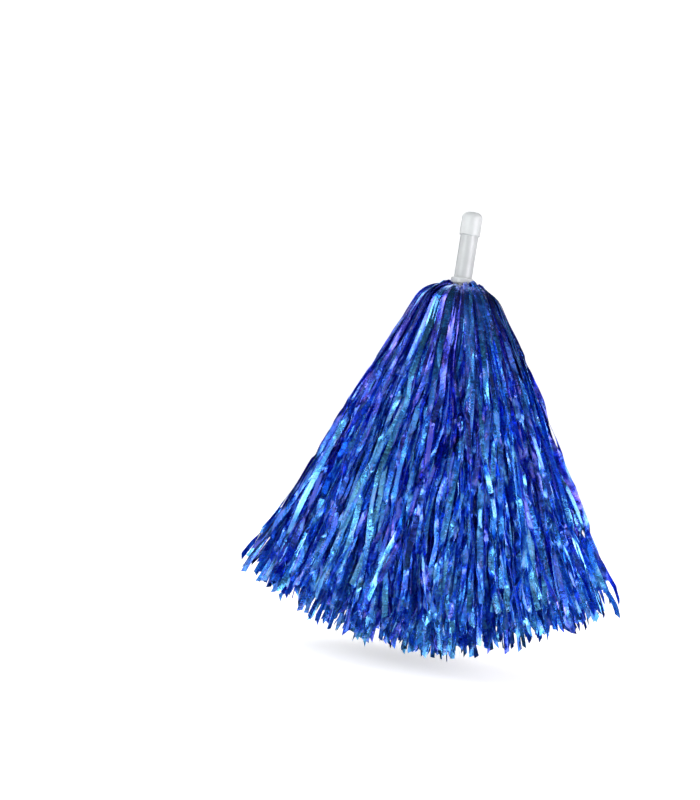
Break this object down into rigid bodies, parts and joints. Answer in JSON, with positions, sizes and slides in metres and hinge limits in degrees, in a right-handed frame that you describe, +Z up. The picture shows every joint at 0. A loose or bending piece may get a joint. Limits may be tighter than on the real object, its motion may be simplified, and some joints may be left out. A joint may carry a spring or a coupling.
{
  "type": "cheer pom pom",
  "caption": "Hand-held cheer pom pom: a short hollow baton with a rounded knob and a full cone-shaped skirt of crinkled metallic film strips tied round its lower end.",
  "frame": {"origin": "middle of the hand's grip, on the axis of the handle", "axes": "+Z up the handle, towards its knob; the skirt hangs towards -Z; +X points at the first lock of strips and at the tie's head"},
  "size_m": [0.3236, 0.3236, 0.39],
  "materials": {
    "foil_strips": "metallised blue film, mirror-like, crinkled",
    "handle_tube_plastic": "milky translucent, smooth",
    "knob_plastic": "white, smooth moulded",
    "tie_nylon": "natural nylon, satin"
  },
  "bodies": {
    "handle": {"handle_tube": "handle_tube_plastic", "knob_cap": "knob_plastic", "collar_ring": "knob_plastic", "end_plug": "knob_plastic", "cable_tie": "tie_nylon", "gathered_neck": "foil_strips", "core_strips": "foil_strips"},
    "outer_lock_01": {"outer_strips_01": "foil_strips"},
    "outer_lock_02": {"outer_strips_02": "foil_strips"},
    "outer_lock_03": {"outer_strips_03": "foil_strips"},
    "outer_lock_04": {"outer_strips_04": "foil_strips"},
    "outer_lock_05": {"outer_strips_05": "foil_strips"},
    "outer_lock_06": {"outer_strips_06": "foil_strips"},
    "outer_lock_07": {"outer_strips_07": "foil_strips"},
    "outer_lock_08": {"outer_strips_08": "foil_strips"},
    "outer_lock_09": {"outer_strips_09": "foil_strips"},
    "outer_lock_10": {"outer_strips_10": "foil_strips"},
    "outer_lock_11": {"outer_strips_11": "foil_strips"},
    "outer_lock_12": {"outer_strips_12": "foil_strips"},
    "middle_lock_01": {"middle_strips_01": "foil_strips"},
    "middle_lock_02": {"middle_strips_02": "foil_strips"},
    "middle_lock_03": {"middle_strips_03": "foil_strips"},
    "middle_lock_04": {"middle_strips_04": "foil_strips"},
    "middle_lock_05": {"middle_strips_05": "foil_strips"},
    "middle_lock_06": {"middle_strips_06": "foil_strips"},
    "middle_lock_07": {"middle_strips_07": "foil_strips"},
    "middle_lock_08": {"middle_strips_08": "foil_strips"},
    "middle_lock_09": {"middle_strips_09": "foil_strips"},
    "middle_lock_10": {"middle_strips_10": "foil_strips"},
    "middle_lock_11": {"middle_strips_11": "foil_strips"},
    "middle_lock_12": {"middle_strips_12": "foil_strips"},
    "inner_lock_01": {"inner_strips_01": "foil_strips"},
    "inner_lock_02": {"inner_strips_02": "foil_strips"},
    "inner_lock_03": {"inner_strips_03": "foil_strips"},
    "inner_lock_04": {"inner_strips_04": "foil_strips"},
    "inner_lock_05": {"inner_strips_05": "foil_strips"},
    "inner_lock_06": {"inner_strips_06": "foil_strips"},
    "inner_lock_07": {"inner_strips_07": "foil_strips"},
    "inner_lock_08": {"inner_strips_08": "foil_strips"},
    "inner_lock_09": {"inner_strips_09": "foil_strips"},
    "inner_lock_10": {"inner_strips_10": "foil_strips"},
    "inner_lock_11": {"inner_strips_11": "foil_strips"},
    "inner_lock_12": {"inner_strips_12": "foil_strips"}
  },
  "joints": [
    {"name": "outer_flare_01", "type": "hinge", "parent": "handle", "child": "outer_lock_01", "pos_m": [0.014, 0, -0.03], "axis": [0, -1, 0], "range_deg": [0, 60]},
    {"name": "outer_flare_02", "type": "hinge", "parent": "handle", "child": "outer_lock_02", "pos_m": [0.01212, 0.007, -0.03], "axis": [0.5, -0.866, 0], "range_deg": [0, 60]},
    {"name": "outer_flare_03", "type": "hinge", "parent": "handle", "child": "outer_lock_03", "pos_m": [0.007, 0.01212, -0.03], "axis": [0.866, -0.5, 0], "range_deg": [0, 60]},
    {"name": "outer_flare_04", "type": "hinge", "parent": "handle", "child": "outer_lock_04", "pos_m": [0, 0.014, -0.03], "axis": [1, 0, 0], "range_deg": [0, 60]},
    {"name": "outer_flare_05", "type": "hinge", "parent": "handle", "child": "outer_lock_05", "pos_m": [-0.007, 0.01212, -0.03], "axis": [0.866, 0.5, 0], "range_deg": [0, 60]},
    {"name": "outer_flare_06", "type": "hinge", "parent": "handle", "child": "outer_lock_06", "pos_m": [-0.01212, 0.007, -0.03], "axis": [0.5, 0.866, 0], "range_deg": [0, 60]},
    {"name": "outer_flare_07", "type": "hinge", "parent": "handle", "child": "outer_lock_07", "pos_m": [-0.014, 0, -0.03], "axis": [0, 1, 0], "range_deg": [0, 60]},
    {"name": "outer_flare_08", "type": "hinge", "parent": "handle", "child": "outer_lock_08", "pos_m": [-0.01212, -0.007, -0.03], "axis": [-0.5, 0.866, 0], "range_deg": [0, 60]},
    {"name": "outer_flare_09", "type": "hinge", "parent": "handle", "child": "outer_lock_09", "pos_m": [-0.007, -0.01212, -0.03], "axis": [-0.866, 0.5, 0], "range_deg": [0, 60]},
    {"name": "outer_flare_10", "type": "hinge", "parent": "handle", "child": "outer_lock_10", "pos_m": [0, -0.014, -0.03], "axis": [-1, 0, 0], "range_deg": [0, 60]},
    {"name": "outer_flare_11", "type": "hinge", "parent": "handle", "child": "outer_lock_11", "pos_m": [0.007, -0.01212, -0.03], "axis": [-0.866, -0.5, 0], "range_deg": [0, 60]},
    {"name": "outer_flare_12", "type": "hinge", "parent": "handle", "child": "outer_lock_12", "pos_m": [0.01212, -0.007, -0.03], "axis": [-0.5, -0.866, 0], "range_deg": [0, 60]},
    {"name": "middle_flare_01", "type": "hinge", "parent": "handle", "child": "middle_lock_01", "pos_m": [0.014, 0, -0.03], "axis": [0, -1, 0], "range_deg": [0, 40]},
    {"name": "middle_flare_02", "type": "hinge", "parent": "handle", "child": "middle_lock_02", "pos_m": [0.01212, 0.007, -0.03], "axis": [0.5, -0.866, 0], "range_deg": [0, 40]},
    {"name": "middle_flare_03", "type": "hinge", "parent": "handle", "child": "middle_lock_03", "pos_m": [0.007, 0.01212, -0.03], "axis": [0.866, -0.5, 0], "range_deg": [0, 40]},
    {"name": "middle_flare_04", "type": "hinge", "parent": "handle", "child": "middle_lock_04", "pos_m": [0, 0.014, -0.03], "axis": [1, 0, 0], "range_deg": [0, 40]},
    {"name": "middle_flare_05", "type": "hinge", "parent": "handle", "child": "middle_lock_05", "pos_m": [-0.007, 0.01212, -0.03], "axis": [0.866, 0.5, 0], "range_deg": [0, 40]},
    {"name": "middle_flare_06", "type": "hinge", "parent": "handle", "child": "middle_lock_06", "pos_m": [-0.01212, 0.007, -0.03], "axis": [0.5, 0.866, 0], "range_deg": [0, 40]},
    {"name": "middle_flare_07", "type": "hinge", "parent": "handle", "child": "middle_lock_07", "pos_m": [-0.014, 0, -0.03], "axis": [0, 1, 0], "range_deg": [0, 40]},
    {"name": "middle_flare_08", "type": "hinge", "parent": "handle", "child": "middle_lock_08", "pos_m": [-0.01212, -0.007, -0.03], "axis": [-0.5, 0.866, 0], "range_deg": [0, 40]},
    {"name": "middle_flare_09", "type": "hinge", "parent": "handle", "child": "middle_lock_09", "pos_m": [-0.007, -0.01212, -0.03], "axis": [-0.866, 0.5, 0], "range_deg": [0, 40]},
    {"name": "middle_flare_10", "type": "hinge", "parent": "handle", "child": "middle_lock_10", "pos_m": [0, -0.014, -0.03], "axis": [-1, 0, 0], "range_deg": [0, 40]},
    {"name": "middle_flare_11", "type": "hinge", "parent": "handle", "child": "middle_lock_11", "pos_m": [0.007, -0.01212, -0.03], "axis": [-0.866, -0.5, 0], "range_deg": [0, 40]},
    {"name": "middle_flare_12", "type": "hinge", "parent": "handle", "child": "middle_lock_12", "pos_m": [0.01212, -0.007, -0.03], "axis": [-0.5, -0.866, 0], "range_deg": [0, 40]},
    {"name": "inner_flare_01", "type": "hinge", "parent": "handle", "child": "inner_lock_01", "pos_m": [0.012, 0, -0.065], "axis": [0, -1, 0], "range_deg": [0, 20]},
    {"name": "inner_flare_02", "type": "hinge", "parent": "handle", "child": "inner_lock_02", "pos_m": [0.01039, 0.006, -0.065], "axis": [0.5, -0.866, 0], "range_deg": [0, 20]},
    {"name": "inner_flare_03", "type": "hinge", "parent": "handle", "child": "inner_lock_03", "pos_m": [0.006, 0.01039, -0.065], "axis": [0.866, -0.5, 0], "range_deg": [0, 20]},
    {"name": "inner_flare_04", "type": "hinge", "parent": "handle", "child": "inner_lock_04", "pos_m": [0, 0.012, -0.065], "axis": [1, 0, 0], "range_deg": [0, 20]},
    {"name": "inner_flare_05", "type": "hinge", "parent": "handle", "child": "inner_lock_05", "pos_m": [-0.006, 0.01039, -0.065], "axis": [0.866, 0.5, 0], "range_deg": [0, 20]},
    {"name": "inner_flare_06", "type": "hinge", "parent": "handle", "child": "inner_lock_06", "pos_m": [-0.01039, 0.006, -0.065], "axis": [0.5, 0.866, 0], "range_deg": [0, 20]},
    {"name": "inner_flare_07", "type": "hinge", "parent": "handle", "child": "inner_lock_07", "pos_m": [-0.012, 0, -0.065], "axis": [0, 1, 0], "range_deg": [0, 20]},
    {"name": "inner_flare_08", "type": "hinge", "parent": "handle", "child": "inner_lock_08", "pos_m": [-0.01039, -0.006, -0.065], "axis": [-0.5, 0.866, 0], "range_deg": [0, 20]},
    {"name": "inner_flare_09", "type": "hinge", "parent": "handle", "child": "inner_lock_09", "pos_m": [-0.006, -0.01039, -0.065], "axis": [-0.866, 0.5, 0], "range_deg": [0, 20]},
    {"name": "inner_flare_10", "type": "hinge", "parent": "handle", "child": "inner_lock_10", "pos_m": [0, -0.012, -0.065], "axis": [-1, 0, 0], "range_deg": [0, 20]},
    {"name": "inner_flare_11", "type": "hinge", "parent": "handle", "child": "inner_lock_11", "pos_m": [0.006, -0.01039, -0.065], "axis": [-0.866, -0.5, 0], "range_deg": [0, 20]},
    {"name": "inner_flare_12", "type": "hinge", "parent": "handle", "child": "inner_lock_12", "pos_m": [0.01039, -0.006, -0.065], "axis": [-0.5, -0.866, 0], "range_deg": [0, 20]}
  ],
  "couplings": [
    {"joint": "middle_flare_01", "follows": "outer_flare_01", "ratio": 0.65},
    {"joint": "middle_flare_02", "follows": "outer_flare_02", "ratio": 0.65},
    {"joint": "middle_flare_03", "follows": "outer_flare_03", "ratio": 0.65},
    {"joint": "middle_flare_04", "follows": "outer_flare_04", "ratio": 0.65},
    {"joint": "middle_flare_05", "follows": "outer_flare_05", "ratio": 0.65},
    {"joint": "middle_flare_06", "follows": "outer_flare_06", "ratio": 0.65},
    {"joint": "middle_flare_07", "follows": "outer_flare_07", "ratio": 0.65},
    {"joint": "middle_flare_08", "follows": "outer_flare_08", "ratio": 0.65},
    {"joint": "middle_flare_09", "follows": "outer_flare_09", "ratio": 0.65},
    {"joint": "middle_flare_10", "follows": "outer_flare_10", "ratio": 0.65},
    {"joint": "middle_flare_11", "follows": "outer_flare_11", "ratio": 0.65},
    {"joint": "middle_flare_12", "follows": "outer_flare_12", "ratio": 0.65},
    {"joint": "inner_flare_01", "follows": "outer_flare_01", "ratio": 0.33},
    {"joint": "inner_flare_02", "follows": "outer_flare_02", "ratio": 0.33},
    {"joint": "inner_flare_03", "follows": "outer_flare_03", "ratio": 0.33},
    {"joint": "inner_flare_04", "follows": "outer_flare_04", "ratio": 0.33},
    {"joint": "inner_flare_05", "follows": "outer_flare_05", "ratio": 0.33},
    {"joint": "inner_flare_06", "follows": "outer_flare_06", "ratio": 0.33},
    {"joint": "inner_flare_07", "follows": "outer_flare_07", "ratio": 0.33},
    {"joint": "inner_flare_08", "follows": "outer_flare_08", "ratio": 0.33},
    {"joint": "inner_flare_09", "follows": "outer_flare_09", "ratio": 0.33},
    {"joint": "inner_flare_10", "follows": "outer_flare_10", "ratio": 0.33},
    {"joint": "inner_flare_11", "follows": "outer_flare_11", "ratio": 0.33},
    {"joint": "inner_flare_12", "follows": "outer_flare_12", "ratio": 0.33}
  ]
}
